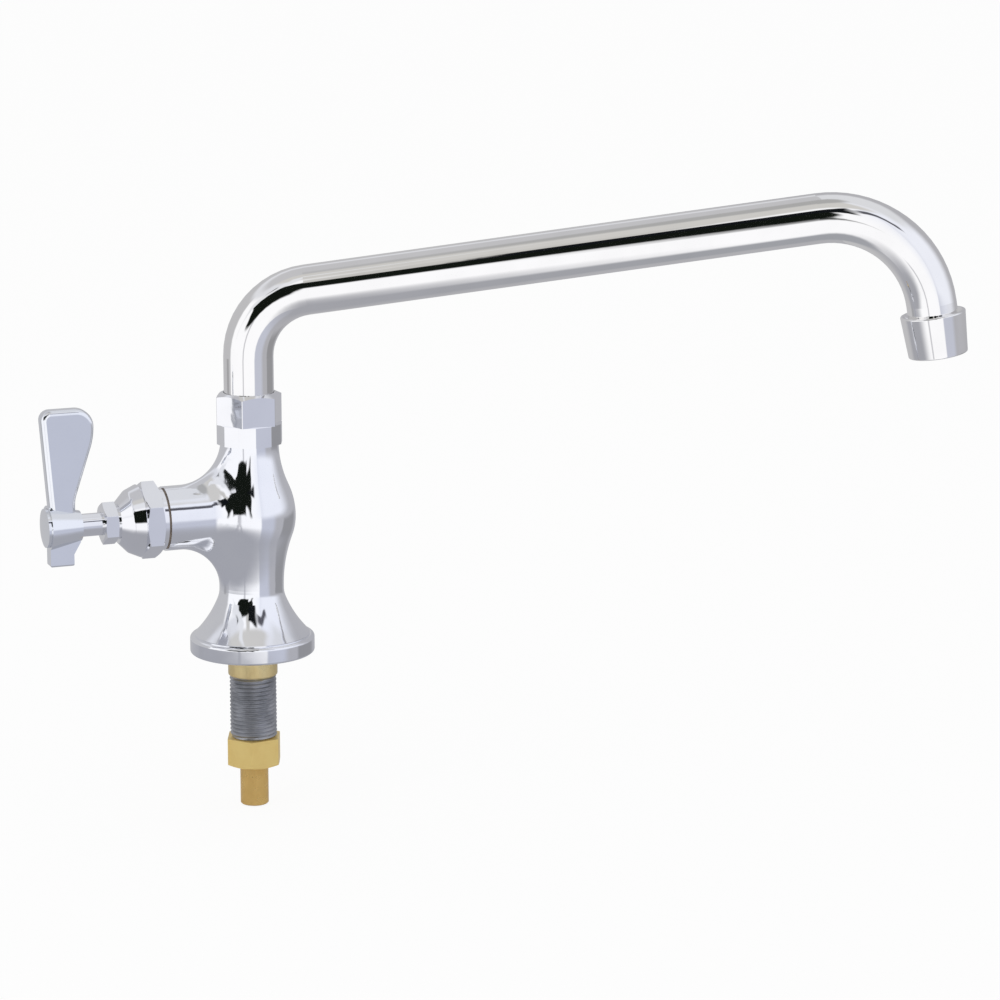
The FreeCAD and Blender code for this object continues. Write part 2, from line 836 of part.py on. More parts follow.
def make_bonnet_gasket():
    body = new_piece("bonnet_gasket")
    inside = at.bonnet_spigot_radius + at.thread_clearance
    turned(body, rectangle((at.branch_reach, inside), (bonnet_face, at.bonnet_gasket_radius)), "H_Axis")
    on_stem_axis(body)


def make_bonnet():
    body = new_piece("bonnet")
    hexagon = prism(
        body,
        at.bonnet_hex_flats,
        hex_start,
        at.bonnet_hex_length,
        HEX_SIDE_COUNT,
        "YZ_Plane",
        at.bonnet_hex_turn,
    )
    round_corners(body, hexagon, at.bonnet_hex_length)
    for face, depth in ((hex_start, at.bonnet_hex_chamfer), (hex_end, -at.bonnet_hex_chamfer)):
        trim_corners(body, at.bonnet_hex_flats, face, depth, HEX_SIDE_COUNT, "H_Axis")
    shoulder = hex_end + at.dome_length * at.dome_mid_share
    points = [
        (at.bonnet_spigot_start, ZERO),
        (at.bonnet_spigot_start, at.bonnet_spigot_radius),
        (bonnet_face, at.bonnet_spigot_radius),
        (bonnet_face, at.bonnet_shoulder_radius),
        (hex_end - at.cut_overrun, at.bonnet_shoulder_radius),
        (hex_end, at.dome_base_radius),
        (shoulder, at.dome_mid_radius),
        (dome_end, at.dome_tip_radius),
        (dome_end, at.gland_thread_radius),
        (gland_end, at.gland_thread_radius),
        (gland_end, ZERO),
    ]
    lathe = turned(body, points, "H_Axis")
    dress(
        body,
        "Fillet",
        lathe,
        lambda e: is_circle_at(e, at.dome_mid_radius.value, shoulder.value, "X"),
        at.dome_rounding,
    )
    points = [
        (at.bonnet_spigot_start, ZERO),
        (at.bonnet_spigot_start, at.stem_thread_radius + at.running_fit),
        (at.stem_bore_step, at.stem_thread_radius + at.running_fit),
        (at.stem_bore_step, at.stem_radius + at.running_fit),
        (at.stuffing_start, at.stem_radius + at.running_fit),
        (at.stuffing_start, at.stuffing_radius),
        (gland_end, at.stuffing_radius),
        (gland_end, ZERO),
    ]
    turned(body, points, "H_Axis", cut=True)
    on_stem_axis(body)


def make_packing():
    inside = at.stem_radius + at.running_fit
    outside = at.stuffing_radius - at.thread_clearance
    body = new_piece("stem_packing")
    turned(body, rectangle((at.stuffing_start, inside), (packing_end, outside)), "H_Axis")
    on_stem_axis(body)
    body = new_piece("packing_washer")
    washer_end = packing_end + at.packing_washer_thickness
    turned(body, rectangle((packing_end, inside), (washer_end, outside)), "H_Axis")
    on_stem_axis(body)


def make_packing_nut():
    body = new_piece("packing_nut")
    washer_end = packing_end + at.packing_washer_thickness
    ceiling = gland_end + at.packing_nut_gap / 2
    hexagon = prism(
        body,
        at.packing_nut_flats,
        packing_nut_start,
        at.packing_nut_length,
        HEX_SIDE_COUNT,
        "YZ_Plane",
        at.packing_nut_turn,
    )
    round_corners(body, hexagon, at.packing_nut_length)
    for face, depth in (
        (packing_nut_end, -at.packing_nut_chamfer),
        (packing_nut_start, at.packing_nut_chamfer / 2),
    ):
        trim_corners(body, at.packing_nut_flats, face, depth, HEX_SIDE_COUNT, "H_Axis")
    bore(body, packing_nut_start, ceiling, at.gland_thread_radius + at.thread_clearance, "H_Axis")
    nose = at.stuffing_radius - at.thread_clearance
    turned(body, rectangle((washer_end, ZERO), (packing_nut_end, nose)), "H_Axis")
    bore(body, washer_end, packing_nut_end, at.stem_radius + at.running_fit, "H_Axis")
    on_stem_axis(body)


def make_stem():
    body = new_piece("stem")
    points = [
        (stem_start, ZERO),
        (stem_start, at.stem_thread_radius - at.stem_lead_in),
        (stem_start + at.stem_lead_in, at.stem_thread_radius),
        (at.stem_thread_end, at.stem_thread_radius),
        (at.stem_thread_end, at.stem_radius),
        (at.hub_socket_start, at.stem_radius),
        (at.hub_socket_start, ZERO),
    ]
    turned(body, points, "H_Axis")
    tang = at.stem_end - at.hub_socket_start
    prism(body, at.tang_flats, at.hub_socket_start, tang, TANG_SIDE_COUNT, "YZ_Plane", at.tang_turn)
    pin_end = holder_end + at.holder_pin_length + at.holder_gap
    bore(body, stem_start, pin_end, at.holder_pin_radius + at.running_fit, "H_Axis")
    screw_seat = at.stem_end + at.holder_gap + at.hub_web
    screw_tip = screw_seat - at.handle_screw_length - at.holder_gap
    bore(body, screw_tip, at.stem_end, at.handle_screw_radius + at.thread_clearance, "H_Axis")
    on_stem_axis(body)


def make_washer_holder():
    body = new_piece("washer_holder")
    cup = at.washer_radius + at.thread_clearance
    hole = at.washer_screw_radius + at.thread_clearance
    hole_end = washer_face + at.washer_screw_length + at.holder_gap
    pin_end = holder_end + at.holder_pin_length
    points = [
        (washer_back, hole),
        (washer_back, cup),
        (washer_back - at.washer_lip, cup),
        (washer_back - at.washer_lip, at.holder_radius),
        (holder_end, at.holder_radius),
        (holder_end, at.holder_pin_radius),
        (pin_end, at.holder_pin_radius),
        (pin_end, ZERO),
        (hole_end, ZERO),
        (hole_end, hole),
    ]
    turned(body, points, "H_Axis")
    on_stem_axis(body)


def make_seat_washer():
    body = new_piece("seat_washer")
    hole = at.washer_screw_radius + at.thread_clearance
    turned(body, rectangle((washer_face, hole), (washer_back, at.washer_radius)), "H_Axis")
    on_stem_axis(body)


def make_washer_screw():
    body = new_piece("washer_screw")
    head_top = washer_face - at.washer_screw_head
    points = [
        (head_top, ZERO),
        (head_top, at.washer_screw_head_radius),
        (washer_face, at.washer_screw_head_radius),
        (washer_face, at.washer_screw_radius),
        (washer_face + at.washer_screw_length, at.washer_screw_radius),
        (washer_face + at.washer_screw_length, ZERO),
    ]
    turned(body, points, "H_Axis")
    cut_slot(body, head_top, at.washer_screw_head / 2, at.washer_screw_head_radius)
    on_stem_axis(body)


def cut_slot(body, face, depth, radius):
    """Screwdriver slot across a head on the stem axis, from its face inwards."""
    sketch = new_sketch(body)
    past = radius + at.cut_overrun
    polygon(sketch, rectangle((face, -past), (face + depth, past)))
    grown(body, sketch, at.screw_slot, cut=True, middle=True)


def make_lever_handle():
    body = new_piece("lever_handle")
    sketch = new_sketch(body)
    blade = [
        (at.blade_root_inner, ZERO),
        (at.blade_root_inner, at.blade_root_height),
        (at.blade_tip_inner, at.blade_flare_height),
        (at.blade_tip_inner, at.blade_height),
        (at.blade_tip_outer, at.blade_height),
        (at.blade_root_outer, ZERO),
    ]
    polygon(sketch, blade)
    padded = grown(body, sketch, at.blade_thickness, middle=True)

    def upright_at(corner):
        x, z = (size.value for size in corner)

        def test(edge):
            box = edge.BoundBox
            across = box.YLength > at.blade_thickness.value - 0.1
            return across and abs(box.XMin - x) + abs(box.ZMin - z) + box.XLength + box.ZLength < 0.01

        return test

    base = padded
    corners = (
        (1, at.blade_root_curve),
        (2, at.blade_flare_curve),
        (3, at.blade_inner_corner),
        (4, at.blade_outer_corner),
    )
    for index, radius in corners:
        base = dress(body, "Fillet", base, upright_at(blade[index]), radius)

    def on_face_rim(edge):
        box = edge.BoundBox
        side = abs(abs(box.YMin) - at.blade_thickness.value / 2) < 0.01 and box.YLength < 0.01
        return side and box.ZMax > 0.01

    base = dress(body, "Fillet", base, on_face_rim, at.blade_rounding)
    hub = [
        (at.hub_start, ZERO),
        (at.hub_start, at.hub_start_radius),
        (at.hub_end, at.hub_end_radius),
        (at.hub_end, ZERO),
    ]
    turned(body, hub, "H_Axis")
    sketch = new_sketch(body)
    web_end = at.hub_start + at.tab_web_reach
    tab_outline = [
        (at.tab_outer, ZERO),
        (at.tab_outer, -at.tab_drop),
        (at.tab_inner, -at.tab_drop),
        (at.tab_inner, -at.tab_web_drop),
        (web_end, -at.hub_start_radius),
        (web_end, ZERO),
    ]
    polygon(sketch, tab_outline)
    tab = grown(body, sketch, at.tab_thickness, middle=True)

    def on_tab_end(edge):
        box = edge.BoundBox
        return abs(box.ZMin + at.tab_drop.value) < 0.01 and box.ZLength < 0.01

    dress(body, "Fillet", tab, on_tab_end, at.tab_rounding)
    socket_floor = at.stem_end + at.holder_gap
    screw_seat = socket_floor + at.hub_web
    cap_floor = at.hub_end - at.cap_depth
    stem_hole_end = at.hub_socket_start + at.holder_gap
    bore(body, at.hub_start, stem_hole_end, at.stem_radius + at.thread_clearance, "H_Axis")
    sketch = new_sketch(body, "YZ_Plane", at.hub_socket_start)
    half = at.tang_flats / 2 + at.thread_clearance
    polygon(sketch, rectangle((-half, -half), (half, half)))
    grown(body, sketch, socket_floor - at.hub_socket_start, cut=True, back=True)
    bore(body, socket_floor, screw_seat, at.handle_screw_radius + at.holder_gap, "H_Axis")
    bore(body, screw_seat, cap_floor, at.handle_screw_head_radius + at.holder_gap, "H_Axis")
    cap_end = at.hub_end + at.cap_rise + at.cut_overrun
    bore(body, cap_floor, cap_end, at.cap_radius + at.thread_clearance, "H_Axis")
    on_stem_axis(body)


def make_handle_screw():
    body = new_piece("handle_screw")
    seat = at.stem_end + at.holder_gap + at.hub_web
    head_end = seat + at.handle_screw_head
    tip = seat - at.handle_screw_length
    points = [
        (tip, ZERO),
        (tip, at.handle_screw_radius),
        (seat, at.handle_screw_radius),
        (seat, at.handle_screw_head_radius),
        (head_end, at.handle_screw_head_radius),
        (head_end, ZERO),
    ]
    turned(body, points, "H_Axis")
    slot_depth = at.handle_screw_head / 2
    cut_slot(body, head_end - slot_depth, slot_depth, at.handle_screw_head_radius)
    on_stem_axis(body)


def make_index_cap():
    body = new_piece("index_cap")
    floor = at.hub_end - at.cap_depth
    edge = at.hub_end + at.cap_edge
    tip = at.hub_end + at.cap_rise
    rise = at.cap_rise.value - at.cap_edge.value
    dome = (at.cap_radius.value**2 + rise**2) / (2 * rise)
    sketch = new_sketch(body)
    outline = Outline(sketch, (floor, ZERO))
    outline.line((floor, at.cap_radius))
    outline.line((edge, at.cap_radius))
    outline.arc((tip.value - dome, 0), (tip, ZERO), clockwise=True, smooth=False, level="end")
    outline.close()
    spin(body, sketch, "H_Axis")
    on_stem_axis(body)


def make_swivel_collar():
    body = new_piece("swivel_collar")
    sides = prism(
        body,
        at.swivel_collar_flats,
        body_top,
        at.swivel_collar_height,
        COLLAR_SIDE_COUNT,
        turn=at.swivel_collar_turn,
    )
    round_corners(body, sides, at.swivel_collar_height)
    spigot = body_top - at.collar_spigot_length + at.holder_gap
    spigot_root = body_top + at.cut_overrun
    thread_root = collar_top - at.cut_overrun
    turned(body, rectangle((ZERO, spigot), (at.collar_spigot_radius, spigot_root)))
    turned(body, rectangle((ZERO, thread_root), (at.nut_thread_radius, thread_top)))
    bore(body, spigot, thread_top, collar_bore)


def make_spout_nut():
    body = new_piece("spout_nut")
    hexagon = prism(
        body,
        at.spout_nut_flats,
        collar_top,
        at.spout_nut_height,
        HEX_SIDE_COUNT,
        turn=at.spout_nut_turn,
    )
    round_corners(body, hexagon, at.spout_nut_height)
    trim_corners(body, at.spout_nut_flats, nut_top, -at.spout_nut_chamfer, HEX_SIDE_COUNT)
    bore(body, collar_top, shoulder_top + at.lip_gap, nut_thread_bore)
    bore(body, collar_top, nut_top, at.tube_radius + at.nut_hole_clearance)


def make_spout_slip_ring():
    body = new_piece("spout_slip_ring")
    inside = at.sleeve_radius + at.nut_hole_clearance
    ring_top = thread_top + at.slip_ring_thickness
    turned(body, rectangle((inside, thread_top), (at.slip_ring_radius, ring_top)))


def make_spout_sleeve():
    body = new_piece("spout_sleeve")
    grooved = at.sleeve_radius - at.groove_depth
    inside_tube = at.tube_radius - at.tube_wall - at.thread_clearance
    points = [
        (at.sleeve_bore_radius, sleeve_bottom),
        (at.sleeve_radius - at.sleeve_lead_in, sleeve_bottom),
        (at.sleeve_radius, sleeve_bottom + at.sleeve_lead_in),
        (at.sleeve_radius, groove_low),
        (grooved, groove_low),
        (grooved, groove_low + at.groove_width),
        (at.sleeve_radius, groove_low + at.groove_width),
        (at.sleeve_radius, groove_high),
        (grooved, groove_high),
        (grooved, groove_high + at.groove_width),
        (at.sleeve_radius, groove_high + at.groove_width),
        (at.sleeve_radius, shoulder_bottom),
        (at.shoulder_radius, shoulder_bottom),
        (at.shoulder_radius, shoulder_top),
        (inside_tube, shoulder_top),
        (inside_tube, shoulder_top + at.tube_spigot),
        (at.sleeve_bore_radius, shoulder_top + at.tube_spigot),
    ]
    turned(body, points)


def make_o_ring(label, groove):
    torus = doc.addObject("Part::Torus", label)
    torus.Label = label
    middle = at.sleeve_radius - at.groove_depth + at.ring_radius
    for key, size in (("Radius1", middle), ("Radius2", at.ring_radius)):
        setattr(torus, key, size.value)
        torus.setExpression(key, size.text)
    torus.setExpression("Placement.Base.z", (groove + at.groove_width / 2).text)
    pieces.append(torus)


def make_spout_tube():
    body = new_piece("spout_tube")
    rise = math.radians(SIZES["run_rise"])
    tilt = math.radians(SIZES["outlet_tilt"])
    outlet = (SIZES["spout_reach"], SIZES["outlet_height"])
    end = [
        outlet[0] - SIZES["tube_end_height"] * math.sin(tilt),
        outlet[1] + SIZES["tube_end_height"] * math.cos(tilt),
    ]
    run_way = (math.cos(rise), math.sin(rise))
    outlet_way = (-math.sin(tilt), math.cos(tilt))
    corner = (0.0, riser_corner.value)
    # Far corner: where the run's line meets the outlet's line
    cross = run_way[0] * outlet_way[1] - run_way[1] * outlet_way[0]
    along = ((end[0] - corner[0]) * outlet_way[1] - (end[1] - corner[1]) * outlet_way[0]) / cross
    far = (corner[0] + along * run_way[0], corner[1] + along * run_way[1])
    first_turn = math.pi / 2 - rise
    second_turn = math.pi / 2 + rise - tilt
    first_cut = SIZES["riser_bend"] * math.tan(first_turn / 2)
    second_cut = SIZES["outlet_bend"] * math.tan(second_turn / 2)
    first_centre = (SIZES["riser_bend"], corner[1] - first_cut)
    run_start = (corner[0] + first_cut * run_way[0], corner[1] + first_cut * run_way[1])
    run_end = (far[0] - second_cut * run_way[0], far[1] - second_cut * run_way[1])
    normal = (run_way[1], -run_way[0])
    second_centre = tuple(run_end[k] + SIZES["outlet_bend"] * normal[k] for k in (0, 1))
    drop_start = tuple(far[k] - second_cut * outlet_way[k] for k in (0, 1))

    sketch = new_sketch(body)
    sine = f"sin({at.outlet_tilt.text})"
    cosine = f"cos({at.outlet_tilt.text})"
    lean = Size(math.sin(tilt), sine)
    upright = Size(math.cos(tilt), cosine)
    end_point = (
        at.spout_reach - at.tube_end_height * lean,
        at.outlet_height + at.tube_end_height * upright,
    )
    outline = Outline(sketch, (ZERO, shoulder_top))
    riser = outline.line((0.0, corner[1] - first_cut))
    outline.arc(first_centre, run_start, clockwise=True, radius=at.riser_bend)
    run = outline.line(run_end, smooth=True)
    outline.arc(second_centre, drop_start, clockwise=True, radius=at.outlet_bend)
    drop = outline.line(end_point, smooth=True)
    sketch.addConstraint(Sketcher.Constraint("Vertical", riser))
    bind(sketch, Sketcher.Constraint("Angle", -1, 1, run, 1, rise), at.run_rise)
    bind(sketch, Sketcher.Constraint("Angle", -2, 1, drop, 2, tilt), at.outlet_tilt)
    mark = sketch.addGeometry(Part.Point(Vector(0, corner[1], 0)), True)
    sketch.addConstraint(Sketcher.Constraint("PointOnObject", mark, 1, -2))
    sketch.addConstraint(Sketcher.Constraint("PointOnObject", mark, 1, run))
    bind(sketch, Sketcher.Constraint("DistanceY", -1, 1, mark, 1, corner[1]), riser_corner)
    for radius, kind in (
        (at.tube_radius, "PartDesign::AdditivePipe"),
        (at.tube_radius - at.tube_wall, "PartDesign::SubtractivePipe"),
    ):
        section = new_sketch(body, "XY_Plane", shoulder_top)
        ring(section, radius)
        pipe = body.newObject(kind, "Bent")
        pipe.Profile = section
        pipe.Spine = sketch
        section.Visibility = False
    sketch.Visibility = False


def make_outlet_adapter():
    body = new_piece("outlet_adapter")
    inside = at.tube_radius + at.adapter_clearance
    top = at.aerator_length - at.aerator_gap_depth
    turned(body, rectangle((inside, at.tube_end_height), (at.aerator_thread_radius, top)))
    on_outlet_axis(body)


def make_aerator_housing():
    body = new_piece("aerator_housing")
    gap_floor = at.aerator_length - at.aerator_gap_depth
    thread = at.aerator_thread_radius + at.thread_clearance
    points = [
        (at.aerator_mouth_radius, ZERO),
        (at.aerator_bottom_radius, ZERO),
        (at.aerator_top_radius, at.aerator_length),
        (at.aerator_gap_radius, at.aerator_length),
        (thread, gap_floor),
        (thread, at.aerator_seat_end),
        (at.aerator_seat_radius, at.aerator_seat_end),
        (at.aerator_seat_radius, at.aerator_lip),
        (at.aerator_mouth_radius, at.aerator_lip),
    ]
    lathe = turned(body, points)

    def outer_rims(edge):
        low = is_circle_at(edge, at.aerator_bottom_radius.value, 0)
        return low or is_circle_at(edge, at.aerator_top_radius.value, at.aerator_length.value)

    dress(body, "Fillet", lathe, outer_rims, at.aerator_rounding)
    on_outlet_axis(body)


def pierced_disc(label, low, high, rings, hole):
    """Disc in the aerator's seat with rings of round holes."""
    body = new_piece(label)
    disc = new_sketch(body, "XY_Plane", low)
    ring(disc, at.aerator_seat_radius - at.insert_clearance)
    grown(body, disc, high - low)
    for radius, count in rings:
        sketch = new_sketch(body, "XY_Plane", low)
        ring(sketch, hole, (radius, ZERO))
        pocket = grown(body, sketch, high - low, cut=True, back=True)
        pattern = body.newObject("PartDesign::PolarPattern", "Ring")
        pattern.Originals = [pocket]
        pattern.Axis = (sketch, ["N_Axis"])
        pattern.Angle = 360
        pattern.Occurrences = count
        body.Tip = pattern
    on_outlet_axis(body)


def make_aerator_washer():
    body = new_piece("aerator_washer")
    turned(
        body,
        rectangle(
            (at.aerator_washer_bore, at.aerator_seat_end),
            (at.aerator_thread_radius - at.insert_clearance, at.tube_end_height),
        ),
    )
    on_outlet_axis(body)


make_faucet_body()
make_base_gasket()
make_shank_adapter()
make_threaded_shank()
make_inlet_hex()
make_inlet_seal()
make_tailpiece()
make_valve_seat()
make_bonnet_gasket()
make_bonnet()
make_packing()
make_packing_nut()
make_stem()
make_washer_holder()
make_seat_washer()
make_washer_screw()
make_lever_handle()
make_handle_screw()
make_index_cap()
make_swivel_collar()
make_spout_nut()
make_spout_slip_ring()
make_spout_sleeve()
make_o_ring("spout_o_ring_lower", groove_low)
make_o_ring("spout_o_ring_upper", groove_high)
make_spout_tube()
make_outlet_adapter()
make_aerator_housing()
make_aerator_washer()
screen_low = at.aerator_seat_end - at.screen_thickness
screen_rings = (
    (at.screen_ring_inner, INNER_HOLE_COUNT),
    (at.screen_ring_middle, MIDDLE_HOLE_COUNT),
    (at.screen_ring_outer, OUTER_HOLE_COUNT),
)
insert_rings = (
    (at.insert_ring_inner, INNER_HOLE_COUNT),
    (at.insert_ring_outer, MIDDLE_HOLE_COUNT),
)
pierced_disc(
    "aerator_screen", screen_low, at.aerator_seat_end, screen_rings, at.screen_hole_radius
)
pierced_disc("aerator_insert", at.aerator_lip, screen_low, insert_rings, at.insert_hole_radius)
doc.recompute()

for item in doc.Objects:
    if "Invalid" in item.State or "Error" in item.State:
        raise SystemExit(f"{item.Label} failed: {item.State}")
for piece in pieces:
    if piece.Shape.isNull() or not piece.Shape.isValid() or len(piece.Shape.Solids) != 1:
        raise SystemExit(f"{piece.Label} has no sound solid")

os.makedirs("parts", exist_ok=True)
for piece in pieces:
    piece.Shape.exportStep(f"parts/{piece.Label}.step")
    print(f"{piece.Label}: {piece.Shape.Volume:.1f} mm3")
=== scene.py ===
import bpy
import bmesh
import json
import math
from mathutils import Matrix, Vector


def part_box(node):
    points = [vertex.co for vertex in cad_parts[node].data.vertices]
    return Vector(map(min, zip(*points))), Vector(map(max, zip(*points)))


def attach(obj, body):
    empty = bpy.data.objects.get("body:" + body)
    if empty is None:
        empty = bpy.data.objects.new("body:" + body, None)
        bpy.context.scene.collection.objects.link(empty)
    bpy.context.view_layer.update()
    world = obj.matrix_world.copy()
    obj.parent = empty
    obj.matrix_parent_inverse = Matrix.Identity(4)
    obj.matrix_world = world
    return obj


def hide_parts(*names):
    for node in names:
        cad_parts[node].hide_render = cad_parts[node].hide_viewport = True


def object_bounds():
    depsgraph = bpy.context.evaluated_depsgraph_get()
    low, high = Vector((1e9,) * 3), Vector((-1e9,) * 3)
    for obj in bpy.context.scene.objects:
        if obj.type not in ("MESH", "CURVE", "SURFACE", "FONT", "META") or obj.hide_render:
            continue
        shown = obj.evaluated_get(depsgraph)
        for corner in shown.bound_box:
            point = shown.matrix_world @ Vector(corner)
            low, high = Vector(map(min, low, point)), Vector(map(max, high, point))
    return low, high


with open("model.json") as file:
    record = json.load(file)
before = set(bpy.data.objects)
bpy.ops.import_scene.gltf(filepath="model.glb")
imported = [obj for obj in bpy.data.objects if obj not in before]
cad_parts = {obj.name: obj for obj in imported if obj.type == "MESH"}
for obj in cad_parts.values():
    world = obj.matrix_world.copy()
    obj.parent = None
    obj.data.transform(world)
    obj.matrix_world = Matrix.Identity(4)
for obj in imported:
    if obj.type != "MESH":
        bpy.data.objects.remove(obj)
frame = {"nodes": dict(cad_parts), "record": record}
nodes = frame["nodes"]
scene = bpy.context.scene


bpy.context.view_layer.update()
print("loaded", len(nodes), "nodes")


# camera at the photograph's angle
camera = {"place": (0.1112, -1.6522, 0.4384), "pitch": 12.6, "lens": 136.8, "sensor": 36, "farthest": 60}


def setCamera():
    lens = bpy.data.cameras.new("viewCamera")
    lens.lens = camera["lens"]
    lens.sensor_width = camera["sensor"]
    lens.clip_end = camera["farthest"]
    holder = bpy.data.objects.new("viewCamera", lens)
    holder.location = camera["place"]
    holder.rotation_euler = (math.radians(90 - camera["pitch"]), 0, 0)
    scene.collection.objects.link(holder)
    scene.camera = holder


setCamera()
scene.view_settings.view_transform = "Standard"
print("camera set")


class Wire:
    # one output of a node, used in sums like a number
    def __init__(self, shader, socket):
        self.shader = shader
        self.socket = socket

    def math(self, operation, other, swapped=False):
        pair = (other, self) if swapped else (self, other)
        return self.shader.add("ShaderNodeMath", {"operation": operation}, {0: pair[0], 1: pair[1]})

    def also(self, name):
        # another output of the same node
        return Wire(self.shader, self.socket.node.outputs[name])

    def __add__(self, other):
        return self.math("ADD", other)

    def __radd__(self, other):
        return self.math("ADD", other, True)

    def __sub__(self, other):
        return self.math("SUBTRACT", other)

    def __rsub__(self, other):
        return self.math("SUBTRACT", other, True)

    def __mul__(self, other):
        return self.math("MULTIPLY", other)

    def __rmul__(self, other):
        return self.math("MULTIPLY", other, True)


class Shader:
    # the node tree of a material or of the world
    def __init__(self, owner):
        owner.use_nodes = True
        self.tree = owner.node_tree
        self.tree.nodes.clear()

    def plug(self, socket, value):
        if isinstance(value, Wire):
            self.tree.links.new(value.socket, socket)
        elif socket.type == "RGBA":
            socket.default_value = (*value, 1)
        else:
            socket.default_value = value

    def add(self, kind, settings=None, sockets=None, out=0):
        node = self.tree.nodes.new(kind)
        for key, value in (settings or {}).items():
            setattr(node, key, value)
        for key, value in (sockets or {}).items():
            self.plug(node.inputs[key], value)
        if node.outputs:
            return Wire(self, node.outputs[out])

    def mix(self, factor, first, second):
        return self.add("ShaderNodeMix", {"data_type": "RGBA"}, {0: factor, 6: first, 7: second}, out=2)

    def smooth(self, value, low, high):
        ends = {"Value": value, "From Min": low, "From Max": high}
        return self.add("ShaderNodeMapRange", {"interpolation_type": "SMOOTHSTEP"}, ends)

    def finish(self, surface):
        self.add("ShaderNodeOutputMaterial", {}, {"Surface": surface})


# studio: soft boxes, gray walls and black flags around the chrome, later cards in front of earlier ones
# left, right, low and high are a card's soft edges in degrees, lean tilts it, none means no edge there
# the flags' edges wander a little, as those of real cloth do
studio = {
    "colour": (1.02, 1.02, 1.04), "fill": (0.80, 0.80, 0.80), "white": (1, 1, 1), "leanFrom": -2,
    "wander": 30, "wanderScale": 2.3, "wandering": ("flagLow", "flagLeft", "flagRight", "flagTip", "flagCut"),
}
studioCards = {
    "rightBox": {"colour": (0.55, 0.57, 0.66), "left": (29, 34)},
    "rightEdge": {"colour": (0.45, 0.45, 0.48), "left": (60, 78)},
    "rightGlow": {"colour": (0.88, 0.90, 0.98), "left": (6, 44), "low": (-9, 2)},
    "rightWall": {"colour": (0.45, 0.45, 0.475), "left": (84, 130)},
    "leftWall": {"colour": (0.53, 0.53, 0.545), "right": (-91, -82)},
    "edgeRight": {
        "colour": (0.30, 0.30, 0.315),
        "left": (94, 101), "right": (138, 160), "low": (-50, -30), "high": (-11, -7),
    },
    "edgeLeft": {
        "colour": (0.37, 0.37, 0.38),
        "left": (-118, -110), "right": (-101, -97), "low": (-50, -30), "high": (-11, -7),
    },
    "boxSeam": {
        "colour": (0.60, 0.60, 0.63),
        "left": (-25, -22), "right": (-20, -17), "low": (-33, -27), "high": (1, 7),
    },
    "highLeft": {"colour": (0.75, 0.76, 0.80), "right": (-50, -14), "low": (30, 40)},
    "highRight": {"colour": (0.72, 0.73, 0.76), "left": (50, 80), "low": (36, 50)},
    "stripeTop": {"colour": (0.58, 0.57, 0.55), "left": (-20, -14), "right": (-8, -4), "low": (34, 38)},
    "ceiling": {"colour": (0.63, 0.62, 0.60), "right": (40, 70), "low": (50, 58)},
    "ceilingLeft": {"colour": (0.55, 0.55, 0.57), "right": (-80, -60), "low": (40, 52)},
    "ceilingTop": {"colour": (0.42, 0.42, 0.42), "low": (74, 82)},
    "underside": {"colour": (0.36, 0.37, 0.40), "high": (-74, -60)},
    "flagLow": {
        "colour": (0.006, 0.008, 0.006),
        "left": (-42, -38), "right": (-14, -10), "low": (-1, 3), "high": (20, 24),
    },
    "flagLeft": {
        "colour": (0.006, 0.008, 0.006),
        "left": (-51, -47), "right": (7, 11), "low": (2, 6), "high": (32, 36), "lean": 0.36,
    },
    "flagRight": {
        "colour": (0.006, 0.007, 0.009),
        "left": (-8, -5), "right": (17, 21), "low": (26, 29), "high": (47, 51),
    },
    "flagTip": {
        "colour": (0.10, 0.10, 0.12),
        "left": (18, 22), "right": (46, 54), "low": (34, 36.5), "high": (41, 45),
    },
    "flagCut": {
        "colour": (0.80, 0.81, 0.84),
        "left": (-66, -56), "right": (-26, -20), "low": (77, 81), "high": (96, 108), "lean": -1.3,
    },
}


def setWorld():
    world = bpy.data.worlds.new("studio")
    scene.world = world
    make = Shader(world)
    direction = make.add("ShaderNodeTexCoord")
    split = make.add("ShaderNodeSeparateXYZ", {}, {0: direction})
    x, y, z = split, split.also(1), split.also(2)
    degrees = 180 / math.pi
    around = make.add("ShaderNodeMath", {"operation": "ARCTAN2"}, {0: x, 1: y * -1}) * degrees
    up = make.add("ShaderNodeMath", {"operation": "ARCSINE"}, {0: z}) * degrees
    noise = {"Vector": direction, "Scale": studio["wanderScale"], "Detail": 0.0}
    wander = make.add("ShaderNodeTexNoise", {}, noise, out=1)
    shift = make.add("ShaderNodeSeparateColor", {}, {0: wander})
    shiftAround, shiftUp = [(part - 0.5) * studio["wander"] for part in (shift, shift.also(1))]

    colour = studio["colour"]
    for name, card in studioCards.items():
        across, height = around, up
        if name in studio["wandering"]:
            across, height = around + shiftAround, up + shiftUp
        if "lean" in card:
            height = height + (across - studio["leanFrom"]) * card["lean"]
        cover = None
        for side, value in (("left", across), ("low", height), ("right", across), ("high", height)):
            if side in card:
                edge = make.smooth(value, *card[side])
                if side in ("right", "high"):
                    edge = 1 - edge
                cover = cover * edge if cover else edge
        colour = make.mix(cover, colour, card["colour"])

    path = make.add("ShaderNodeLightPath")
    colour = make.mix(path.also("Is Glossy Ray"), studio["fill"], colour)
    colour = make.mix(path, colour, studio["white"])
    light = make.add("ShaderNodeBackground", {}, {"Color": colour})
    make.add("ShaderNodeOutputWorld", {}, {"Surface": light})


# the floor: white to the camera, and in the chrome a gray patch of painted shadow round the faucet that fades
# out
floorLook = {
    "colour": (0.93, 0.93, 0.93), "glow": (1, 1, 1), "whiten": 0.91, "gap": 0.0006, "radius": 14.0,
    "corners": 64, "paintedShadow": (0.38, 0.385, 0.42), "paintedShadowEdge": (0.15, 0.44), "paintedShadowPlace": (-0.13, -0.06, 0.0),
}
keyLight = {"place": (-0.9, -1.3, 1.5), "aim": (0.05, 0, 0.05), "size": 1.6, "power": 6.0}


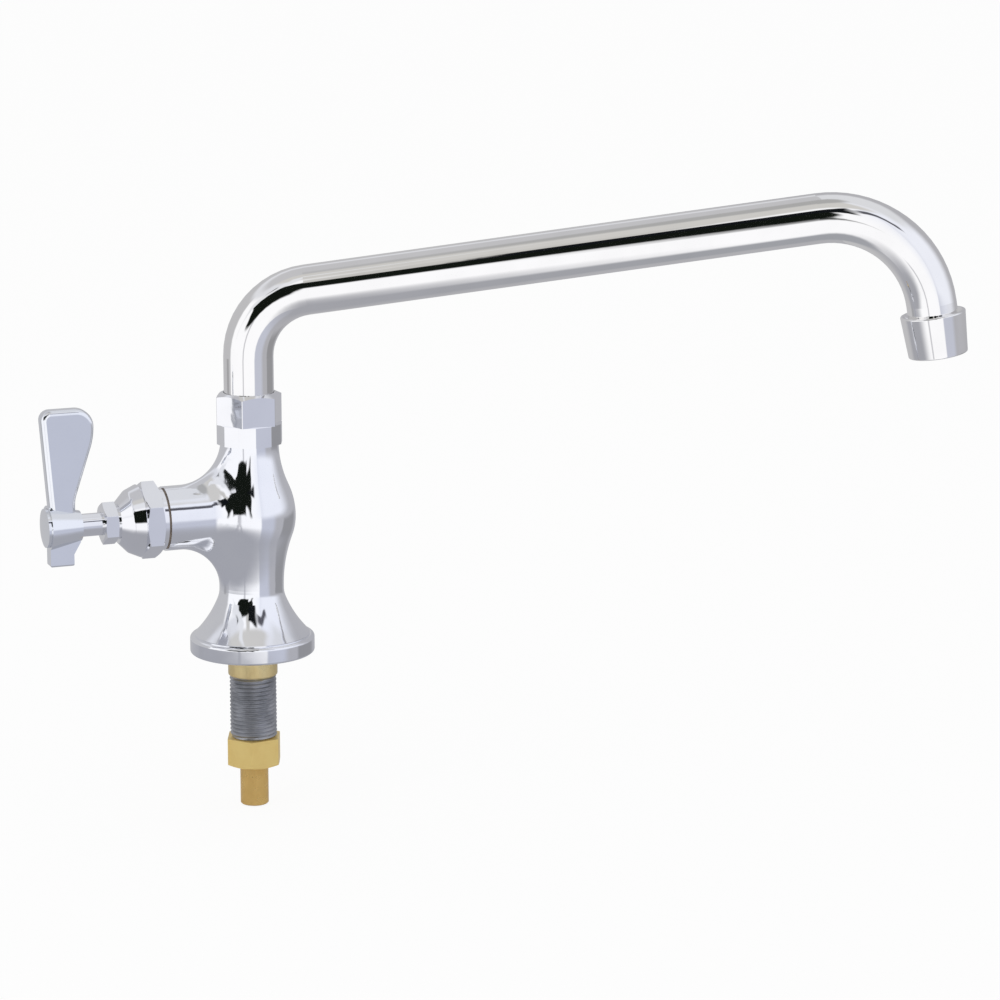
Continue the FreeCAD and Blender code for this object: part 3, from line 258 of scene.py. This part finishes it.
def setStage():
    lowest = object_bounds()[0][2]
    bpy.ops.mesh.primitive_circle_add(
        vertices=floorLook["corners"], radius=floorLook["radius"], fill_type="NGON",
        location=(0, 0, lowest - floorLook["gap"]),
    )
    floor = bpy.context.object
    floor.name = "floor"
    bpy.ops.object.transform_apply(location=True)
    paint = bpy.data.materials.new("paleFloor")
    make = Shader(paint)
    lit = make.add("ShaderNodeBsdfDiffuse", {}, {"Color": floorLook["colour"]})
    glow = make.add("ShaderNodeEmission", {}, {"Color": floorLook["glow"]})
    path = make.add("ShaderNodeLightPath")
    plain = make.add("ShaderNodeMixShader", {}, {0: path * floorLook["whiten"], 1: lit, 2: glow})
    # painted shadow: a gray glowing patch round the faucet, seen only in the chrome, stands in for the
    # faucet's shade on the floor
    paintedShadow = make.add("ShaderNodeEmission", {}, {"Color": floorLook["paintedShadow"]})
    clear = make.add("ShaderNodeBsdfTransparent")
    place = make.add("ShaderNodeTexCoord", out=3)
    flat = make.add("ShaderNodeVectorMath", {"operation": "MULTIPLY"}, {0: place, 1: (1, 1, 0)})
    reach = make.add(
        "ShaderNodeVectorMath", {"operation": "DISTANCE"}, {0: flat, 1: floorLook["paintedShadowPlace"]}, out=1
    )
    shadowFade = make.smooth(reach, *floorLook["paintedShadowEdge"])
    mirroredShadow = make.add("ShaderNodeMixShader", {}, {0: shadowFade, 1: paintedShadow, 2: clear})
    make.finish(make.add("ShaderNodeMixShader", {}, {0: path.also("Is Glossy Ray"), 1: plain, 2: mirroredShadow}))
    floor.data.materials.append(paint)

    lamp = bpy.data.lights.new("softKey", "AREA")
    lamp.size = keyLight["size"]
    lamp.energy = keyLight["power"]
    holder = bpy.data.objects.new("softKey", lamp)
    holder.location = keyLight["place"]
    aim = Vector(keyLight["aim"]) - Vector(keyLight["place"])
    holder.rotation_euler = aim.to_track_quat("-Z", "Y").to_euler()
    holder.visible_glossy = False
    scene.collection.objects.link(holder)


setWorld()
setStage()
print("studio set")


# finishes: each kind has its marks, and each look of that kind its colours and strengths
# a pair for clouds, grit or grain is a noise's scale and detail
def spots(make, scale, detail):
    place = make.add("ShaderNodeTexCoord", out=3)
    return make.add("ShaderNodeTexNoise", {}, {"Vector": place, "Scale": scale, "Detail": detail})


def clouds(make, marks, look):
    # soft spots and the colour that they tint
    cloud = make.smooth(spots(make, *marks["cloud"]), *marks["cloudEdge"])
    return cloud, make.mix(cloud, look["colour"], look["clouded"])


def paintSurface(make, sockets, strength, depth, height):
    relief = {"Strength": strength, "Distance": depth, "Height": height}
    sockets["Normal"] = make.add("ShaderNodeBump", {}, relief)
    make.finish(make.add("ShaderNodeBsdfPrincipled", {}, sockets))


chromeMarks = {
    "cloud": (60, 4), "cloudEdge": (0.35, 0.75), "grit": (900, 2), "gritEdge": (0.45, 0.7), "gritShare": 0.5,
    "rippleDetail": 2, "depth": 0.0004,
}
chromeLooks = {
    "chromeBody": {
        "colour": (0.93, 0.94, 0.97), "clouded": (0.90, 0.91, 0.95), "rough": 0.045, "smudge": 0.03,
        "ripple": 0.35, "rippleScale": 70,
    },
    "chromeTrim": {
        "colour": (0.93, 0.935, 0.96), "clouded": (0.90, 0.905, 0.93), "rough": 0.025, "smudge": 0.02,
        "ripple": 0.1, "rippleScale": 120,
    },
    "chromeLever": {
        "colour": (0.90, 0.92, 0.96), "clouded": (0.88, 0.90, 0.94), "rough": 0.035, "smudge": 0.03,
        "ripple": 0.25, "rippleScale": 90,
    },
    "chromeSpout": {
        "colour": (0.95, 0.945, 0.94), "clouded": (0.92, 0.915, 0.91), "rough": 0.025, "smudge": 0.02,
        "ripple": 0.06, "rippleScale": 60,
    },
}


def chrome(make, look):
    cloud, tone = clouds(make, chromeMarks, look)
    grit = make.smooth(spots(make, *chromeMarks["grit"]), *chromeMarks["gritEdge"])
    dull = look["rough"] + cloud * look["smudge"] + grit * look["smudge"] * chromeMarks["gritShare"]
    ripples = spots(make, look["rippleScale"], chromeMarks["rippleDetail"])
    sockets = {"Base Color": tone, "Metallic": 1.0, "Roughness": dull}
    paintSurface(make, sockets, look["ripple"], chromeMarks["depth"], ripples)


brassMarks = {
    "cloud": (110, 4), "cloudEdge": (0.3, 0.75), "cloudDull": 0.12, "cloudHeight": 0.4,
    "lineWaver": 0.6, "lineDetail": 1.0, "lineDetailScale": 2.0, "lineDull": 0.05, "depth": 0.0001,
}
brassLooks = {
    "brassCollar": {
        "colour": (0.92, 0.76, 0.40), "clouded": (0.85, 0.66, 0.32), "rough": 0.26, "lines": 700,
        "marks": 0.25, "metal": 0.85,
    },
    "brassHex": {
        "colour": (0.97, 0.74, 0.28), "clouded": (0.90, 0.66, 0.24), "rough": 0.32, "lines": 260,
        "marks": 0.15, "metal": 0.55,
    },
    "brassTube": {
        "colour": (0.93, 0.63, 0.22), "clouded": (0.80, 0.52, 0.17), "rough": 0.22, "lines": 60,
        "marks": 0.1, "metal": 0.65,
    },
    "brassInner": {
        "colour": (0.80, 0.66, 0.34), "clouded": (0.70, 0.52, 0.24), "rough": 0.3, "lines": 500,
        "marks": 0.2, "metal": 1.0,
    },
}


def brass(make, look):
    cloud, tone = clouds(make, brassMarks, look)
    waves = {
        "Vector": make.add("ShaderNodeTexCoord", out=3), "Scale": look["lines"],
        "Distortion": brassMarks["lineWaver"], "Detail": brassMarks["lineDetail"],
        "Detail Scale": brassMarks["lineDetailScale"],
    }
    lines = make.add("ShaderNodeTexWave", {"wave_type": "BANDS", "bands_direction": "Z"}, waves, out=1)
    dull = look["rough"] + cloud * brassMarks["cloudDull"] + lines * brassMarks["lineDull"]
    sockets = {"Base Color": tone, "Metallic": look["metal"], "Roughness": dull}
    height = lines + cloud * brassMarks["cloudHeight"]
    paintSurface(make, sockets, look["marks"], brassMarks["depth"], height)


grayMarks = {
    "cloud": (160, 5), "cloudEdge": (0.32, 0.7), "cloudDull": 0.15, "grain": (1400, 2), "depth": 0.00012,
}
grayLooks = {
    "zincShank": {
        "colour": (0.48, 0.49, 0.52), "clouded": (0.35, 0.36, 0.385), "rough": 0.32, "grain": 0.35,
        "metal": 0.9,
    },
    "steelScrew": {
        "colour": (0.62, 0.62, 0.63), "clouded": (0.52, 0.52, 0.53), "rough": 0.25, "grain": 0.1,
        "metal": 1.0,
    },
}


def grayMetal(make, look):
    cloud, tone = clouds(make, grayMarks, look)
    dull = look["rough"] + cloud * grayMarks["cloudDull"]
    sockets = {"Base Color": tone, "Metallic": look["metal"], "Roughness": dull}
    paintSurface(make, sockets, look["grain"], grayMarks["depth"], spots(make, *grayMarks["grain"]))


softMarks = {
    "cloud": (220, 3), "cloudEdge": (0.3, 0.7), "cloudDull": 0.1, "grain": (2600, 3), "depth": 0.0001,
}
softLooks = {
    "blackRubber": {
        "colour": (0.020, 0.020, 0.021), "clouded": (0.045, 0.045, 0.047), "rough": 0.55, "grain": 0.3,
    },
    "pressedFibre": {
        "colour": (0.17, 0.14, 0.12), "clouded": (0.26, 0.21, 0.17), "rough": 0.8, "grain": 0.6,
    },
    "whiteSealing": {
        "colour": (0.82, 0.82, 0.80), "clouded": (0.74, 0.74, 0.71), "rough": 0.4, "grain": 0.1,
    },
    "grayPlastic": {
        "colour": (0.52, 0.53, 0.55), "clouded": (0.44, 0.45, 0.47), "rough": 0.42, "grain": 0.15,
    },
}


def softStuff(make, look):
    cloud, tone = clouds(make, softMarks, look)
    sockets = {"Base Color": tone, "Roughness": look["rough"] + cloud * softMarks["cloudDull"]}
    paintSurface(make, sockets, look["grain"], softMarks["depth"], spots(make, *softMarks["grain"]))


finishKinds = ((chrome, chromeLooks), (brass, brassLooks), (grayMetal, grayLooks), (softStuff, softLooks))
finishes = {}
for makeFinish, looks in finishKinds:
    for finishName, finishLook in looks.items():
        finishes[finishName] = bpy.data.materials.new(finishName)
        makeFinish(Shader(finishes[finishName]), finishLook)

slotFinishes = {
    "chrome_body": "chromeBody", "chrome_trim": "chromeTrim", "chrome_lever": "chromeLever",
    "chrome_spout": "chromeSpout", "brass_collar": "brassCollar", "brass_hex": "brassHex",
    "brass_tube": "brassTube", "brass_inner": "brassInner", "steel_screw": "steelScrew",
    "zinc_shank": "zincShank", "black_rubber": "blackRubber", "fibre": "pressedFibre",
    "white_ptfe": "whiteSealing", "gray_plastic": "grayPlastic",
}
for part in frame["record"]["subparts"]:
    piece = nodes[part["node"]]
    piece.data.materials.clear()
    piece.data.materials.append(finishes[slotFinishes[part["material_slot"]]])
print("finishes made:", len(finishes))


def unpick():
    if bpy.context.object and bpy.context.object.mode != "OBJECT":
        bpy.ops.object.mode_set(mode="OBJECT")
    bpy.ops.object.select_all(action="DESELECT")


def settle(piece, name, finish, body):
    # names the piece, gives it its finish and ties it to its body
    piece.name = name
    piece.data.name = name
    piece.data.materials.clear()
    piece.data.materials.append(finishes[finish])
    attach(piece, body)


# pipe thread on the shank: one tooth's profile, screwed up the pipe, cut to length and closed by a bore
shankThread = {
    "pitch": 0.001814, "depth": 0.0007, "crest": 0.00022, "steps": 56, "chamfer": 0.0009, "bore": 0.00838,
    "merge": 0.000002, "level": 0.000001, "boreWall": 0.00001, "smooth": 32,
}


def rimEdges(shell, height):
    # the open edges that lie at one height
    level = shankThread["level"]
    return [e for e in shell.edges if e.is_boundary and all(abs(v.co.z - height) < level for v in e.verts)]


def reachOut(vertex, distance, spread):
    # moves a vertex to a distance from the pipe's axis
    vertex.co.x *= distance / spread
    vertex.co.y *= distance / spread


def makeShankThread():
    low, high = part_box("threaded_shank")
    outer, inner = high.x, shankThread["bore"]
    pitch = shankThread["pitch"]
    root = outer - shankThread["depth"]
    flat = shankThread["crest"] / 2
    turns = math.ceil((high.z - low.z) / pitch) + 2
    start = low.z - pitch
    unpick()
    bpy.ops.mesh.primitive_plane_add(size=1)
    piece = bpy.context.object
    profile = bmesh.new()
    corners = [
        (root, start), (root, start + flat), (outer, start + pitch / 2 - flat),
        (outer, start + pitch / 2 + flat), (root, start + pitch - flat), (root, start + pitch),
    ]
    points = [profile.verts.new((radius, 0, height)) for radius, height in corners]
    for first, second in zip(points, points[1:]):
        profile.edges.new((first, second))
    profile.to_mesh(piece.data)
    profile.free()
    screw = piece.modifiers.new("thread", "SCREW")
    screw.axis = "Z"
    screw.screw_offset = pitch
    screw.iterations = turns
    screw.steps = shankThread["steps"]
    screw.render_steps = shankThread["steps"]
    screw.use_merge_vertices = True
    screw.merge_threshold = shankThread["merge"]
    bpy.ops.object.modifier_apply(modifier="thread")
    bpy.ops.object.mode_set(mode="EDIT")
    bpy.ops.mesh.select_all(action="SELECT")
    bpy.ops.mesh.remove_doubles(threshold=shankThread["merge"])
    for height, top in ((low.z, False), (high.z, True)):
        bpy.ops.mesh.select_all(action="SELECT")
        bpy.ops.mesh.bisect(
            plane_co=(0, 0, height), plane_no=(0, 0, 1), clear_inner=not top, clear_outer=top
        )
    bpy.ops.object.mode_set(mode="OBJECT")
    shell = bmesh.new()
    shell.from_mesh(piece.data)
    for height in (low.z, high.z):
        made = bmesh.ops.extrude_edge_only(shell, edges=rimEdges(shell, height))
        for vertex in (v for v in made["geom"] if isinstance(v, bmesh.types.BMVert)):
            reachOut(vertex, inner, math.hypot(vertex.co.x, vertex.co.y))
    for vertex in shell.verts:
        spread = math.hypot(vertex.co.x, vertex.co.y)
        edge = min(vertex.co.z - low.z, high.z - vertex.co.z)
        limit = outer - max(0.0, shankThread["chamfer"] - edge)
        if spread > limit and spread > inner + shankThread["boreWall"]:
            reachOut(vertex, limit, spread)
    rims = [rimEdges(shell, height) for height in (low.z, high.z)]
    bmesh.ops.bridge_loops(shell, edges=rims[0] + rims[1])
    bmesh.ops.recalc_face_normals(shell, faces=shell.faces)
    shell.to_mesh(piece.data)
    shell.free()
    bpy.ops.object.shade_smooth_by_angle(angle=math.radians(shankThread["smooth"]))
    settle(piece, "shankThread", "zincShank", "faucet")
    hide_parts("threaded_shank")


makeShankThread()
print("shank thread made")
